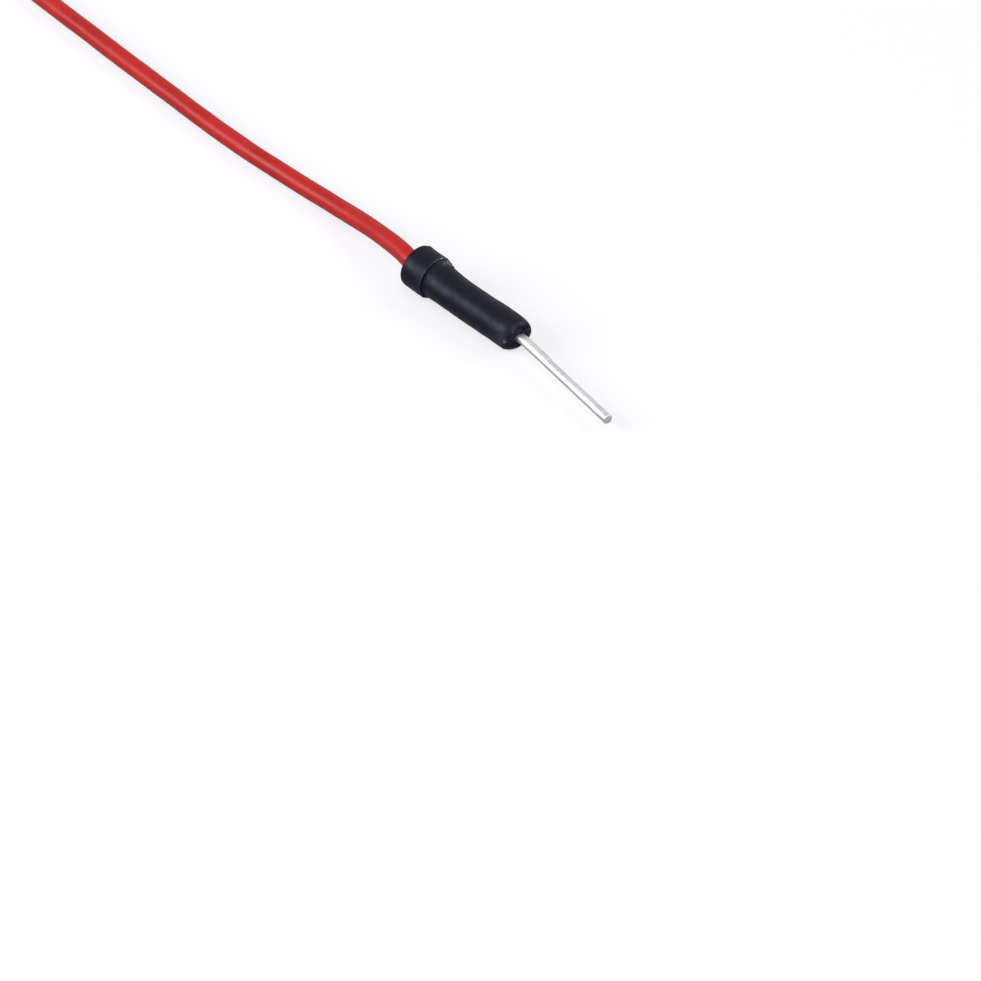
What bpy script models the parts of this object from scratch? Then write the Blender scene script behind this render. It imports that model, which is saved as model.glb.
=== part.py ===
"""A breadboard jumper wire, lying on a flat surface.

An insulated stranded wire ends in a moulded plug at each end. Each plug is a soft housing moulded
over a tinned pin, whose rear barrel is rolled onto the wire's seven bare strands.
Lengths are in metres, +Z is up, and the pieces rest on z = 0. The two plugs and their pins are
centred on the origin, and the near plug points along +X.
"""

import math

import bmesh
import bpy
import numpy as np
from mathutils import Matrix, Vector

MM = 0.001

# Wire
WIRE_DIAMETER = 1.5 * MM
STRAND_DIAMETER = 0.16 * MM
STRAND_GAP = 0.02 * MM
STRANDS_IN_RING = 6
STRAND_LAY = 14.0 * MM

# Moulded housing, outside: a collar at the wire, a tapering body and a domed nose
HOUSING_LENGTH = 11.8 * MM
COLLAR_LENGTH = 2.2 * MM
COLLAR_DIAMETER = 3.5 * MM
COLLAR_EDGE = 0.09 * MM
BODY_DIAMETER = 3.05 * MM
NOSE_DIAMETER = 2.84 * MM
NOSE_LENGTH = 1.0 * MM
NOSE_FLAT_DIAMETER = 2.0 * MM
PARTING_RIDGE_HEIGHT = 0.035 * MM
PARTING_RIDGE_WIDTH = 0.11 * MM
PARTING_RIDGE_INSET = 0.2 * MM

# Pin: a round shank, with a barrel at its rear that two rolled grooves close on the strands
PIN_DIAMETER = 0.75 * MM
PIN_EXPOSED = 11.3 * MM
PIN_TIP_CHAMFER = 0.04 * MM
PIN_BEND_RADIUS = 3.0 * MM
BARREL_DIAMETER = 1.15 * MM
BARREL_LENGTH = 3.4 * MM
BARREL_SHOULDER = 0.2 * MM
GROOVE_DEPTH = 0.06 * MM
GROOVE_WIDTH = 0.4 * MM
GROOVE_INSET = 1.02 * MM
STRAND_SEAT = 2.9 * MM

# How the pieces fit: the insulated wire's depth in the housing, and the bare stretch before the barrel
WIRE_DEPTH = 4.0 * MM
BARE_STRETCH = 0.5 * MM
CLEARANCE = 0.04 * MM

# Where each plug lies: the middle of its rear face seen from above, its turn about +Z, the turn of
# its parting line from straight up, and how far its pin is bent to the right
NEAR_REAR_XY = (38.12 * MM, 3.50 * MM)
NEAR_TURN = math.radians(0.0)
NEAR_PARTING = math.radians(-45.0)
NEAR_PIN_BEND = math.radians(8.3)
FAR_REAR_XY = (-39.90 * MM, 4.06 * MM)
FAR_TURN = math.radians(204.0)
FAR_PARTING = math.radians(35.0)
FAR_PIN_BEND = math.radians(0.0)

# The wire's route between the two plugs: x, y and the lift above lying flat
ROUTE = (
    (36.4 * MM, 3.75 * MM, 1.14 * MM),
    (34.1 * MM, 4.12 * MM, 0.99 * MM),
    (31.1 * MM, 4.52 * MM, 0.62 * MM),
    (28.1 * MM, 4.75 * MM, 0.25 * MM),
    (25.1 * MM, 4.84 * MM, 0.05 * MM),
    (22.1 * MM, 4.79 * MM, 0.0),
    (18.1 * MM, 4.73 * MM, 0.0),
    (13.1 * MM, 4.84 * MM, 0.0),
    (7.1 * MM, 5.20 * MM, 0.0),
    (1.1 * MM, 5.56 * MM, 0.0),
    (-4.4 * MM, 5.95 * MM, 0.0),
    (-9.9 * MM, 6.33 * MM, 0.0),
    (-15.4 * MM, 6.83 * MM, 0.0),
    (-20.9 * MM, 7.22 * MM, 0.0),
    (-26.0 * MM, 7.24 * MM, 0.06 * MM),
    (-30.6 * MM, 6.76 * MM, 0.35 * MM),
    (-34.6 * MM, 5.93 * MM, 0.78 * MM),
    (-37.6 * MM, 4.98 * MM, 1.04 * MM),
)
ROUTE_SPACING = 3.0 * MM

# Fineness of the round surfaces
TURN_STEPS = 40
DOME_STEPS = 6
CUT_OVERLAP = 0.6 * MM
MERGE = 1e-7

# Sizes that follow from the ones above
STRAND_PITCH = STRAND_DIAMETER + STRAND_GAP
STRAND_BORE = 2 * STRAND_PITCH + STRAND_DIAMETER + 2 * CLEARANCE
BARREL_MOUTH = WIRE_DEPTH + BARE_STRETCH
BARREL_END = BARREL_MOUTH + BARREL_LENGTH
NOSE_START = HOUSING_LENGTH - NOSE_LENGTH
REST_TILT = math.atan2((COLLAR_DIAMETER - NOSE_DIAMETER) / 2, NOSE_START - COLLAR_LENGTH)


def clear_scene():
    """Removes what the file opens with."""
    for found in list(bpy.data.objects):
        bpy.data.objects.remove(found, do_unlink=True)


def new_collection(name):
    """A collection of that name in the scene."""
    made = bpy.data.collections.new(name)
    bpy.context.scene.collection.children.link(made)
    return made


def finish(name, colour, roughness, metallic):
    """A Principled material with one colour."""
    material = bpy.data.materials.new(name)
    material.use_nodes = True
    shader = material.node_tree.nodes["Principled BSDF"]
    shader.inputs["Base Color"].default_value = (*colour, 1.0)
    shader.inputs["Roughness"].default_value = roughness
    shader.inputs["Metallic"].default_value = metallic
    return material


def put(made, collection, material=None):
    """Links an object to its collection and gives it its material."""
    collection.objects.link(made)
    if material is not None:
        made.data.materials.append(material)
    return made


def as_tool(made, collection):
    """Marks an object as a shape that only cuts or joins another."""
    put(made, collection)
    made.hide_render = True
    made.display_type = "WIRE"
    return made


def turned(name, profile):
    """A solid turned about Z from (radius, height) points that run down its outer side."""
    mesh = bpy.data.meshes.new(name)
    edges = [(i, i + 1) for i in range(len(profile) - 1)]
    mesh.from_pydata([(radius, 0.0, height) for radius, height in profile], edges, [])
    made = bpy.data.objects.new(name, mesh)
    screw = made.modifiers.new("Turning", "SCREW")
    screw.axis = "Z"
    screw.angle = math.tau
    screw.steps = TURN_STEPS
    screw.render_steps = TURN_STEPS
    screw.use_merge_vertices = True
    screw.merge_threshold = MERGE
    screw.use_smooth_shade = True
    return made


def rod(name, path, diameter, radii=None, bevel_resolution=2):
    """A round rod along the points of a path, with filled ends. radii scales it at each point."""
    curve = bpy.data.curves.new(name, "CURVE")
    curve.dimensions = "3D"
    curve.bevel_depth = diameter / 2
    curve.bevel_resolution = bevel_resolution
    curve.use_fill_caps = True
    spline = curve.splines.new("POLY")
    spline.points.add(len(path) - 1)
    for i, place in enumerate(path):
        spline.points[i].co = (*place, 1.0)
        spline.points[i].radius = 1.0 if radii is None else radii[i] / (diameter / 2)
    return bpy.data.objects.new(name, curve)


def meshed(source):
    """The mesh object that takes a curve object's place, with its end caps welded."""
    bpy.context.scene.collection.objects.link(source)
    graph = bpy.context.evaluated_depsgraph_get()
    mesh = bpy.data.meshes.new_from_object(source.evaluated_get(graph))
    body = bmesh.new()
    body.from_mesh(mesh)
    bmesh.ops.remove_doubles(body, verts=body.verts, dist=MERGE)
    bmesh.ops.recalc_face_normals(body, faces=body.faces)
    body.to_mesh(mesh)
    body.free()
    name = source.name
    placed = source.matrix_world.copy()
    bpy.data.objects.remove(source, do_unlink=True)
    made = bpy.data.objects.new(name, mesh)
    made.matrix_world = placed
    return made


def combine(target, tool, operation):
    """Adds one exact Boolean to an object."""
    modifier = target.modifiers.new(operation.title(), "BOOLEAN")
    modifier.operation = operation
    modifier.object = tool
    modifier.solver = "EXACT"


def outer_profile():
    """The housing's outside as (radius, height), from the nose's middle down to the rear's middle."""
    nose, flat = NOSE_DIAMETER / 2, NOSE_FLAT_DIAMETER / 2
    collar, body = COLLAR_DIAMETER / 2, BODY_DIAMETER / 2
    dome = []
    for i in range(DOME_STEPS + 1):
        angle = math.pi / 2 * (1 - i / DOME_STEPS)
        dome.append((flat + (nose - flat) * math.cos(angle), NOSE_START + NOSE_LENGTH * math.sin(angle)))
    return (
        [(0.0, HOUSING_LENGTH)]
        + dome
        + [
            (body, COLLAR_LENGTH),
            (collar, COLLAR_LENGTH),
            (collar, COLLAR_EDGE),
            (collar - COLLAR_EDGE, 0.0),
            (0.0, 0.0),
        ]
    )


def bore_profile():
    """The stepped bore: a wide seat for the wire, a chamber for the barrel and a bore for the pin."""
    wire = WIRE_DIAMETER / 2 + CLEARANCE
    chamber = BARREL_DIAMETER / 2 + CLEARANCE
    pin = PIN_DIAMETER / 2 + CLEARANCE
    chamber_end = BARREL_END + CLEARANCE
    return [
        (0.0, HOUSING_LENGTH + CUT_OVERLAP),
        (pin, HOUSING_LENGTH + CUT_OVERLAP),
        (pin, chamber_end + BARREL_SHOULDER),
        (chamber, chamber_end),
        (chamber, WIRE_DEPTH + CLEARANCE),
        (wire, WIRE_DEPTH + CLEARANCE),
        (wire, -CUT_OVERLAP),
        (0.0, -CUT_OVERLAP),
    ]


def parting_outline():
    """The parting ridge's edge on one side as (radius, height), running out on the dome."""
    ridge = PARTING_RIDGE_HEIGHT
    collar, body, nose = COLLAR_DIAMETER / 2, BODY_DIAMETER / 2, NOSE_DIAMETER / 2
    flat = NOSE_FLAT_DIAMETER / 2
    points = [
        (collar + ridge, PARTING_RIDGE_INSET),
        (collar + ridge, COLLAR_LENGTH),
        (body + ridge, COLLAR_LENGTH + ridge),
        (nose + ridge, NOSE_START),
    ]
    for i in range(1, DOME_STEPS):
        angle = math.pi / 2 * i / DOME_STEPS
        left = ridge * (1 - i / DOME_STEPS)
        points.append(
            (
                flat + (nose - flat) * math.cos(angle) + left,
                NOSE_START + NOSE_LENGTH * math.sin(angle),
            )
        )
    return points


def parting_blade(name):
    """A thin flat plate through the axis whose edge stands out as the parting ridge."""
    side = parting_outline()
    outline = side + [(-radius, height) for radius, height in reversed(side)]
    curve = bpy.data.curves.new(name, "CURVE")
    curve.dimensions = "2D"
    curve.fill_mode = "BOTH"
    curve.extrude = PARTING_RIDGE_WIDTH / 2
    spline = curve.splines.new("POLY")
    spline.points.add(len(outline) - 1)
    for point, (radius, height) in zip(spline.points, outline):
        point.co = (radius, height, 0.0, 1.0)
    spline.use_cyclic_u = True
    return meshed(bpy.data.objects.new(name, curve))


class Plug:
    """One moulded plug with its pin and strands, laid down with its rear face at a given place."""

    def __init__(self, name, rear_xy, turn, parting, pin_bend):
        self.name = name
        self.parting = parting
        self.pin_bend = pin_bend
        height = COLLAR_DIAMETER / 2 * math.cos(REST_TILT) + COLLAR_LENGTH * math.sin(REST_TILT)
        self.rear = Vector((*rear_xy, height))
        self.axis = Vector(
            (
                math.cos(turn) * math.cos(REST_TILT),
                math.sin(turn) * math.cos(REST_TILT),
                -math.sin(REST_TILT),
            )
        )
        self.empty = bpy.data.objects.new(f"{name}_plug", None)
        self.empty.matrix_world = self.frame()

    def frame(self):
        """Local Z runs along the axis to the pin, local X is up, and local Y is to the right."""
        up = Vector((0.0, 0.0, 1.0))
        x_axis = (up - self.axis * up.dot(self.axis)).normalized()
        y_axis = self.axis.cross(x_axis)
        turned_to = Matrix((x_axis, y_axis, self.axis)).transposed()
        return Matrix.Translation(self.rear) @ turned_to.to_4x4()

    def at_depth(self, depth):
        """The point on the axis that far inside the housing from its rear face."""
        return self.rear + self.axis * depth

    def add_housing(self, parts, tools, material):
        """The moulded housing: turned outside, parting ridge and stepped bore."""
        housing = put(turned(f"{self.name}_housing", outer_profile()), parts, material)
        blade = as_tool(parting_blade(f"{self.name}_parting_plate"), tools)
        bore = as_tool(turned(f"{self.name}_bore", bore_profile()), tools)
        for piece in (housing, bore):
            piece.parent = self.empty
        blade.parent = self.empty
        blade.rotation_euler = (math.pi / 2, 0.0, self.parting)
        combine(housing, blade, "UNION")
        combine(housing, bore, "DIFFERENCE")

    def pin_stations(self):
        """The pin's path and its radius there: a straight barrel and shank, then the bend."""
        barrel, shank = BARREL_DIAMETER / 2, PIN_DIAMETER / 2
        stations = [((0.0, 0.0, BARREL_MOUTH), barrel)]
        for middle in (BARREL_MOUTH + GROOVE_INSET, BARREL_END - GROOVE_INSET):
            for step, depth in ((-0.5, 0.0), (-0.25, GROOVE_DEPTH), (0.25, GROOVE_DEPTH), (0.5, 0.0)):
                stations.append(((0.0, 0.0, middle + step * GROOVE_WIDTH), barrel - depth))
        stations.append(((0.0, 0.0, BARREL_END), barrel))
        stations.append(((0.0, 0.0, BARREL_END + BARREL_SHOULDER), shank))
        stations.append(((0.0, 0.0, HOUSING_LENGTH), shank))
        bend = self.pin_bend
        bent = PIN_BEND_RADIUS * abs(bend)
        steps = 3 if bend else 0
        for i in range(1, steps + 1):
            angle = bend * i / steps
            across = PIN_BEND_RADIUS * (1 - math.cos(angle))
            along = PIN_BEND_RADIUS * math.sin(angle)
            stations.append(((0.0, across, HOUSING_LENGTH + along), shank))
        start = Vector(stations[-1][0])
        onward = Vector((0.0, math.sin(bend), math.cos(bend)))
        left = PIN_EXPOSED - bent
        stations.append((tuple(start + onward * (left - PIN_TIP_CHAMFER)), shank))
        stations.append((tuple(start + onward * left), shank - PIN_TIP_CHAMFER))
        return stations

    def add_pin(self, parts, tools, material):
        """The pin, one piece with its barrel, which is bored out for the strands."""
        stations = self.pin_stations()
        path = [place for place, _ in stations]
        radii = [radius for _, radius in stations]
        pin = meshed(rod(f"{self.name}_pin", path, PIN_DIAMETER, radii, bevel_resolution=10))
        put(pin, parts, material)
        floor = BARREL_MOUTH + STRAND_SEAT + CLEARANCE
        profile = [
            (0.0, floor),
            (STRAND_BORE / 2, floor),
            (STRAND_BORE / 2, BARREL_MOUTH - CUT_OVERLAP),
            (0.0, BARREL_MOUTH - CUT_OVERLAP),
        ]
        bore = as_tool(turned(f"{self.name}_barrel_bore", profile), tools)
        for piece in (pin, bore):
            piece.parent = self.empty
        combine(pin, bore, "DIFFERENCE")

    def add_strands(self, parts, material):
        """Seven bare strands, six laid round one, from the insulation's end into the barrel."""
        start = WIRE_DEPTH + CLEARANCE
        end = BARREL_MOUTH + STRAND_SEAT
        heights = np.linspace(start, end, 8)
        for number in range(STRANDS_IN_RING + 1):
            out = STRAND_PITCH if number else 0.0
            path = []
            for height in heights:
                angle = math.tau * (number / STRANDS_IN_RING + (height - start) / STRAND_LAY)
                path.append((out * math.cos(angle), out * math.sin(angle), height))
            strand = rod(f"{self.name}_strand_{number + 1}", path, STRAND_DIAMETER)
            put(strand, parts, material)
            strand.parent = self.empty


def smooth_route(points, first_way, last_way, spacing):
    """Evenly spaced points on the clamped cubic spline through the given points."""
    points = np.array(points)
    steps = np.linalg.norm(np.diff(points, axis=0), axis=1)
    along = np.concatenate([[0.0], np.cumsum(steps)])
    count = len(points)
    matrix = np.zeros((count, count))
    right = np.zeros((count, 3))
    matrix[0, 0] = matrix[-1, -1] = 1.0
    right[0], right[-1] = first_way, last_way
    for i in range(1, count - 1):
        before, after = steps[i - 1], steps[i]
        matrix[i, i - 1 : i + 2] = after, 2 * (before + after), before
        rise_before = (points[i] - points[i - 1]) / before
        rise_after = (points[i + 1] - points[i]) / after
        right[i] = 3 * (after * rise_before + before * rise_after)
    slopes = np.linalg.solve(matrix, right)
    places = np.linspace(0.0, along[-1], 1 + round(along[-1] / spacing))
    made = []
    for place in places:
        i = min(int(np.searchsorted(along, place, side="right")) - 1, count - 2)
        step = steps[i]
        t = (place - along[i]) / step
        made.append(
            (2 * t**3 - 3 * t**2 + 1) * points[i]
            + (t**3 - 2 * t**2 + t) * step * slopes[i]
            + (3 * t**2 - 2 * t**3) * points[i + 1]
            + (t**3 - t**2) * step * slopes[i + 1]
        )
    return made


def add_wire(near, far, parts, material):
    """The insulated wire, from its seat in one housing to its seat in the other."""
    lying = WIRE_DIAMETER / 2
    laid = [(x, y, lying + lift) for x, y, lift in ROUTE]
    route = [tuple(near.rear)] + laid + [tuple(far.rear)]
    path = [near.at_depth(WIRE_DEPTH)]
    for x, y, z in smooth_route(route, -near.axis, far.axis, ROUTE_SPACING):
        path.append(Vector((x, y, max(z, lying))))
    path.append(far.at_depth(WIRE_DEPTH))
    put(rod("insulated_wire", path, WIRE_DIAMETER), parts, material)


def main():
    """Builds the jumper wire."""
    clear_scene()
    parts = new_collection("breadboard_jumper_wire")
    tools = new_collection("breadboard_jumper_wire_cutters")
    red_pvc = finish("red_pvc", (0.48, 0.035, 0.026), 0.35, 0.0)
    black_pvc = finish("black_pvc", (0.018, 0.018, 0.022), 0.5, 0.0)
    tinned_brass = finish("tinned_brass", (0.72, 0.72, 0.72), 0.22, 1.0)
    bare_copper = finish("bare_copper", (0.74, 0.36, 0.22), 0.3, 1.0)
    near = Plug("near", NEAR_REAR_XY, NEAR_TURN, NEAR_PARTING, NEAR_PIN_BEND)
    far = Plug("far", FAR_REAR_XY, FAR_TURN, FAR_PARTING, FAR_PIN_BEND)
    for plug in (near, far):
        parts.objects.link(plug.empty)
        plug.add_housing(parts, tools, black_pvc)
        plug.add_pin(parts, tools, tinned_brass)
        plug.add_strands(parts, bare_copper)
    add_wire(near, far, parts, red_pvc)


main()
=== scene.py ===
"""The looks of a breadboard jumper wire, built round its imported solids.

A red PVC insulated wire lies on a pale surface. Each of its ends is moulded into a black soft-PVC plug
with a tinned round pin. Lengths are in metres unless a name says millimetres, and +Z is up.
"""

from __future__ import annotations

import logging
import math
from dataclasses import dataclass, field
from enum import Enum
from typing import Any

import bpy
import numpy as np
from bpy.types import Camera, Light, Material, Node, NodeSocket, NodeTree, Object
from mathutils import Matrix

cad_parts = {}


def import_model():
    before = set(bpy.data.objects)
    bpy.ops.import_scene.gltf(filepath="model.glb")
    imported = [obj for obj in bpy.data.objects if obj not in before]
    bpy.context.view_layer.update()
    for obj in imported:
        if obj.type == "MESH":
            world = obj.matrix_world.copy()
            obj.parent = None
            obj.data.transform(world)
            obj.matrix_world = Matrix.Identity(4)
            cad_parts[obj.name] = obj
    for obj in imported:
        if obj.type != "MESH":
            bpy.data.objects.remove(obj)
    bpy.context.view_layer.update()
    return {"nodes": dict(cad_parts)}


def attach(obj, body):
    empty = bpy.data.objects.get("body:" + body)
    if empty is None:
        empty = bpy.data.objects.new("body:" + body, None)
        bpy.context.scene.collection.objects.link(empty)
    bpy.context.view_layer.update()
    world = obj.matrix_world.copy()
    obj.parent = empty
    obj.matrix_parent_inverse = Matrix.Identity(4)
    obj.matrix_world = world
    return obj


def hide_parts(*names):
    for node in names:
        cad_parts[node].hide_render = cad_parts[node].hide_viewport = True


MM = 0.001
BODY = "root"
STRAIGHT = "straight_mm"
# The wear attribute: wear and marks, and on the housing also a painted highlight and painted glints
WEAR_AND_HIGHLIGHTS = "wear"
PVC_IOR = 1.53

Array = np.ndarray

log = logging.getLogger("jumper_wire")


class End(Enum):
    """The wire's two ends. The near one is the one that the camera sees."""

    NEAR = "near"
    FAR = "far"


# Arithmetic on whole arrays


def unit(vectors: Array) -> Array:
    """Scales vectors, which lie along the last axis, to length one."""
    return vectors / np.linalg.norm(vectors, axis=-1, keepdims=True)


def step_up(values: Array, start: float, end: float) -> Array:
    """A smooth step: 0 before start, 1 after end, and 3t squared minus 2t cubed between them."""
    t = np.clip((values - start) / (end - start), 0.0, 1.0)
    return t * t * (3.0 - 2.0 * t)


def bump_at(values: Array, middle: float, width: float) -> Array:
    """A bell of height 1: e to the power of minus the square of the distance over the width."""
    return np.exp(-(((values - middle) / width) ** 2))


def wrapped(angle: Array) -> Array:
    """Brings angles into the half turn on either side of zero."""
    return (angle + np.pi) % (2.0 * np.pi) - np.pi


def ripple(
    along: Array, angle: Array, seed: int, wavelength: float, turns: int = 3, waves: int = 14
) -> Array:
    """Slow unevenness over a round piece: a sum of cosines of k times along plus n times angle.

    Args:
        along: distance along the piece.
        angle: angle round the piece.
        seed: which unevenness it is.
        wavelength: the shortest wave along the piece.
        turns: the most waves round the piece.
        waves: how many cosines are added.

    Returns:
        Values that average 0 and spread by about 1, in waves up to five times the shortest.
    """
    rng = np.random.default_rng(seed)
    total = np.zeros(np.broadcast(along, angle).shape)
    for _ in range(waves):
        k = 2.0 * np.pi / wavelength * rng.uniform(0.2, 1.0)
        n = int(rng.integers(-turns, turns + 1))
        total = total + np.cos(k * along + n * angle + rng.uniform(0.0, 2.0 * np.pi))
    return total * math.sqrt(2.0 / waves)


# Meshes


def surface(name: str, rings: Array, straight: Array, wear: Array, looped: bool) -> Object:
    """Makes a closed mesh from rings of points.

    Point (i, j) is the j-th of ring i. Each cell between neighbouring rings and points is a quad. The
    rings close round. Looped rings also close from the last to the first, and others are closed at
    each end by a fan to the ring's middle. The signed volume, a sixth of the sum of a . (b x c) over
    the triangles, tells which way the faces point, and turns them outwards.

    Args:
        name: the object's name.
        rings: points as (ring, point, 3).
        straight: where each point would be in millimetres if the piece were straight.
        wear: how worn or marked each point is, from 0 to 1, with the housing's painted highlights.
        looped: whether the last ring joins the first.

    Returns:
        The object, in the scene, at the origin.
    """
    count, around = rings.shape[:2]
    points = rings.reshape(-1, 3)
    flat = straight.reshape(-1, 3)
    marks = np.broadcast_to(wear, (count, around)).reshape(-1)
    i = np.arange(count if looped else count - 1)[:, None]
    j = np.arange(around)[None, :]
    below, above = i * around, ((i + 1) % count) * around
    after = (j + 1) % around
    quads = np.stack([below + j, below + after, above + after, above + j], axis=-1).reshape(-1, 4)
    fans = np.zeros((0, 3), int)
    if not looped:
        ends = np.array([0, count - 1])
        middles = rings[ends].mean(axis=1)
        points = np.vstack([points, middles])
        flat = np.vstack([flat, straight[ends].mean(axis=1)])
        marks = np.concatenate([marks, marks.reshape(count, around)[ends].mean(axis=1)])
        first, last = count * around, count * around + 1
        here, following = j[0], after[0]
        lift = (count - 1) * around
        start_fan = np.stack([np.full(around, first), following, here], axis=-1)
        end_fan = np.stack([np.full(around, last), lift + here, lift + following], axis=-1)
        fans = np.vstack([start_fan, end_fan])
    triangles = np.vstack([quads[:, [0, 1, 2]], quads[:, [0, 2, 3]], fans])
    a, b, c = (points[triangles[:, k]] for k in range(3))
    if np.einsum("ij,ij->", a, np.cross(b, c)) < 0.0:
        quads = quads[:, ::-1]
        fans = fans[:, ::-1]
    corners = np.concatenate([quads.ravel(), fans.ravel()]).astype(np.int32)
    sizes = np.concatenate([np.full(len(quads), 4), np.full(len(fans), 3)]).astype(np.int32)
    mesh = bpy.data.meshes.new(name)
    mesh.vertices.add(len(points))
    mesh.vertices.foreach_set("co", points.astype(np.float32).ravel())
    mesh.loops.add(len(corners))
    mesh.loops.foreach_set("vertex_index", corners)
    mesh.polygons.add(len(sizes))
    mesh.polygons.foreach_set("loop_start", np.concatenate([[0], np.cumsum(sizes)[:-1]]).astype(np.int32))
    mesh.polygons.foreach_set("use_smooth", np.ones(len(sizes), bool))
    mesh.update(calc_edges=True)
    mesh.validate()
    layer = mesh.attributes.new(STRAIGHT, "FLOAT_VECTOR", "POINT")
    layer.data.foreach_set("vector", flat.astype(np.float32).ravel())
    layer = mesh.attributes.new(WEAR_AND_HIGHLIGHTS, "FLOAT", "POINT")
    layer.data.foreach_set("value", marks.astype(np.float32))
    made = bpy.data.objects.new(name, mesh)
    bpy.context.scene.collection.objects.link(made)
    return made


def rounded_profile(corners: Array, radii: Array, steps: int = 6) -> Array:
    """Rounds the corners of an open profile.

    Each corner P becomes a quadratic Bezier curve, (1-t)^2 A + 2t(1-t) P + t^2 B, between points A and
    B on its two sides, each its radius away from P.

    Args:
        corners: (distance along, radius) points.
        radii: how far from each corner its rounding starts.
        steps: points on each rounding.

    Returns:
        The rounded profile's points.
    """
    before, corner, after = corners[:-2], corners[1:-1], corners[2:]
    reach = radii[1:-1, None]
    a = corner + unit(before - corner) * reach
    b = corner + unit(after - corner) * reach
    t = np.linspace(0.0, 1.0, steps)[None, :, None]
    arcs = (1 - t) ** 2 * a[:, None] + 2 * t * (1 - t) * corner[:, None] + t**2 * b[:, None]
    return np.vstack([corners[:1], arcs.reshape(-1, 2), corners[-1:]])


def resampled(profile: Array, spacing: float) -> Array:
    """Adds points to a profile's long stretches, evenly, and keeps every point that it has.

    Args:
        profile: points along the last axis, with no two neighbours in one place.
        spacing: the longest step that is left.

    Returns:
        The profile with its added points.
    """
    lengths = np.linalg.norm(np.diff(profile, axis=0), axis=1)
    along = np.concatenate([[0.0], np.cumsum(lengths)])
    counts = np.maximum(1, np.ceil(lengths / spacing)).astype(int)
    stretches = zip(along, along[1:], counts)
    places = np.concatenate([np.linspace(s, e, n, endpoint=False) for s, e, n in stretches])
    places = np.append(places, along[-1])
    return np.stack([np.interp(places, along, profile[:, k]) for k in range(profile.shape[1])], axis=-1)


def smooth_route(points: Array, first_way: Array, last_way: Array, spacing: float) -> Array:
    """The clamped cubic spline through points, with whole arrays.

    The slopes come from one tridiagonal system that makes the curvature continuous, and each stretch is
    the cubic Hermite curve (2t^3-3t^2+1)P + (t^3-2t^2+t)hS + (3t^2-2t^3)Q + (t^3-t^2)hT.

    Args:
        points: the places that the curve passes through.
        first_way: its direction at the first.
        last_way: its direction at the last.
        spacing: the distance between the points returned.

    Returns:
        Points along the curve.
    """
    steps = np.linalg.norm(np.diff(points, axis=0), axis=1)
    along = np.concatenate([[0.0], np.cumsum(steps)])
    count = len(points)
    before, after = steps[:-1, None], steps[1:, None]
    inner = np.arange(1, count - 1)
    matrix = np.zeros((count, count))
    matrix[0, 0] = matrix[-1, -1] = 1.0
    matrix[inner, inner - 1] = after[:, 0]
    matrix[inner, inner] = 2.0 * (before + after)[:, 0]
    matrix[inner, inner + 1] = before[:, 0]
    rises = np.diff(points, axis=0) / steps[:, None]
    right = np.vstack([first_way, 3.0 * (after * rises[:-1] + before * rises[1:]), last_way])
    slopes = np.linalg.solve(matrix, right)
    places = np.linspace(0.0, along[-1], 1 + round(along[-1] / spacing))
    i = np.clip(np.searchsorted(along, places, side="right") - 1, 0, count - 2)
    step = steps[i][:, None]
    t = (places - along[i])[:, None] / step
    return (
        (2 * t**3 - 3 * t**2 + 1) * points[i]
        + (t**3 - 2 * t**2 + t) * step * slopes[i]
        + (3 * t**2 - 2 * t**3) * points[i + 1]
        + (t**3 - t**2) * step * slopes[i + 1]
    )


# Finishes


def linear(hex_colour: str) -> tuple[float, float, float, float]:
    """Turns an sRGB hex colour into the linear one that a shader takes.

    Args:
        hex_colour: six hex digits after a hash.

    Returns:
        Linear red, green and blue, and an alpha of 1.
    """
    coded = np.array([int(hex_colour[i : i + 2], 16) for i in (1, 3, 5)]) / 255.0
    value = np.where(coded <= 0.04045, coded / 12.92, ((coded + 0.055) / 1.055) ** 2.4)
    return (float(value[0]), float(value[1]), float(value[2]), 1.0)


def connect(tree: NodeTree, node: Any, inputs: dict[Any, Any]) -> None:
    """Fills in a shader node's inputs.

    Args:
        tree: the node tree that it is in.
        node: the node.
        inputs: for each input, by name or number, its value, an output socket, or a node, which stands
            for its first output.
    """
    for name, value in inputs.items():
        if isinstance(value, Node):
            value = value.outputs[0]
        if isinstance(value, NodeSocket):
            tree.links.new(value, node.inputs[name])
        else:
            node.inputs[name].default_value = value


def add_node(
    tree: NodeTree,
    kind: str,
    inputs: dict[Any, Any] | None = None,
    stops: tuple[tuple[float, str], ...] = (),
    **settings: Any,
) -> Any:
    """Adds a shader node.

    Args:
        tree: the node tree that it goes in.
        kind: the node's type name, without the ShaderNode that starts it.
        inputs: what its inputs get, as connect takes it.
        stops: a colour ramp's places and hex colours, first to last.
        settings: values for the node's own properties.

    Returns:
        The node.
    """
    made = tree.nodes.new("ShaderNode" + kind)
    for name, value in settings.items():
        setattr(made, name, value)
    connect(tree, made, inputs or {})
    for number, (place, hex_colour) in enumerate(stops):
        made.color_ramp.elements[number].position = place
        made.color_ramp.elements[number].color = linear(hex_colour)
    return made


def seen_straight(tree: NodeTree, ray: Any) -> Any:
    """1 where the camera looks, also through something clear, and 0 for light on the object."""
    sockets = {0: ray.outputs["Is Camera Ray"], 1: ray.outputs["Is Transmission Ray"]}
    return add_node(tree, "Math", sockets, operation="MAXIMUM")


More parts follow.
